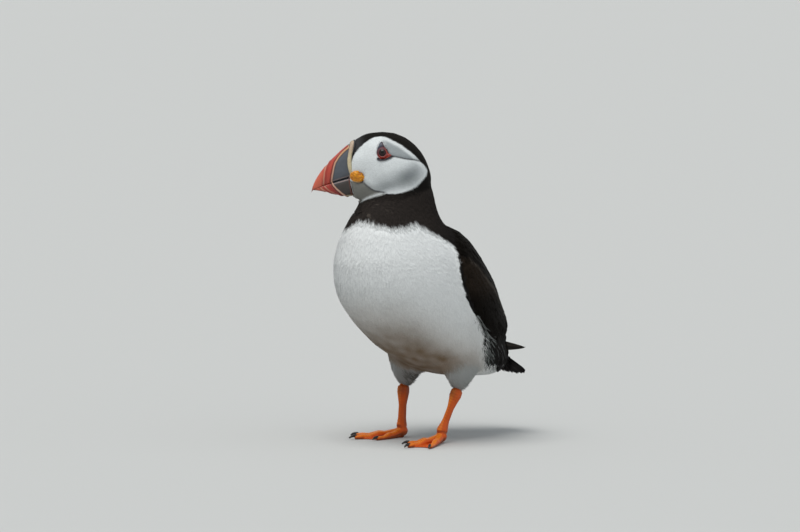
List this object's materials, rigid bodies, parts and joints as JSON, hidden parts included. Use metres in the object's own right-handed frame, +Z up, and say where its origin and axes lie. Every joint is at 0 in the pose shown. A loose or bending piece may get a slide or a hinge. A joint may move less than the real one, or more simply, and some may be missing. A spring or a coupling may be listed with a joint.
{
  "type": "atlantic puffin",
  "caption": "Life-size standing Atlantic puffin, still: black and white coat, deep striped bill, folded wings, short tail and webbed orange feet; it stands free on a flat surface.",
  "frame": {"origin": "on the floor under the middle of the model's box", "axes": "+Z up, -Y the way the breast faces, +X the bird's left side; the head is turned 40 degrees to the bird's right"},
  "size_m": [0.1066, 0.1656, 0.2293],
  "materials": {
    "white_feathers": "soft white contour feathers, matt",
    "black_feathers": "dense black feathers with a faint brown tinge, matt",
    "wing_feathers": "dark brown-black layered wing feathers with paler worn edges",
    "flight_feathers": "black tail vanes, slight sheen",
    "face_feathers": "short dense pale grey-white feathers",
    "bill": "ridged horn in orange-red, slate grey and pale yellow, half gloss",
    "cere": "cream bare skin, finely pitted",
    "gape_rosette": "orange-yellow wrinkled skin",
    "eye": "wet glossy dark brown",
    "eye_ring": "red bare skin",
    "slate_horn": "dark blue-grey horny skin, matt",
    "feet": "scaled and creased orange skin, slight sheen",
    "claws": "dark brown-black horn, half gloss"
  },
  "bodies": {
    "root": {"back": "black_feathers", "bill_lower": "bill", "bill_upper": "bill", "cere": "cere", "claw_inner_left": "claws", "claw_inner_right": "claws", "claw_middle_left": "claws", "claw_middle_right": "claws", "claw_outer_left": "claws", "claw_outer_right": "claws", "crown": "black_feathers", "eye_left": "eye", "eye_plate_lower_left": "slate_horn", "eye_plate_lower_right": "slate_horn", "eye_plate_upper_left": "slate_horn", "eye_plate_upper_right": "slate_horn", "eye_right": "eye", "eye_ring_left": "eye_ring", "eye_ring_right": "eye_ring", "foot_left": "feet", "foot_right": "feet", "gape_rosette_left": "gape_rosette", "gape_rosette_right": "gape_rosette", "head": "face_feathers", "neck": "black_feathers", "shank_left": "feet", "shank_right": "feet", "tail": "flight_feathers", "thigh_left": "white_feathers", "thigh_right": "white_feathers", "trunk": "white_feathers", "wing_left": "wing_feathers", "wing_right": "wing_feathers", "wing_tip_left": "wing_feathers", "wing_tip_right": "wing_feathers"}
  },
  "joints": []
}
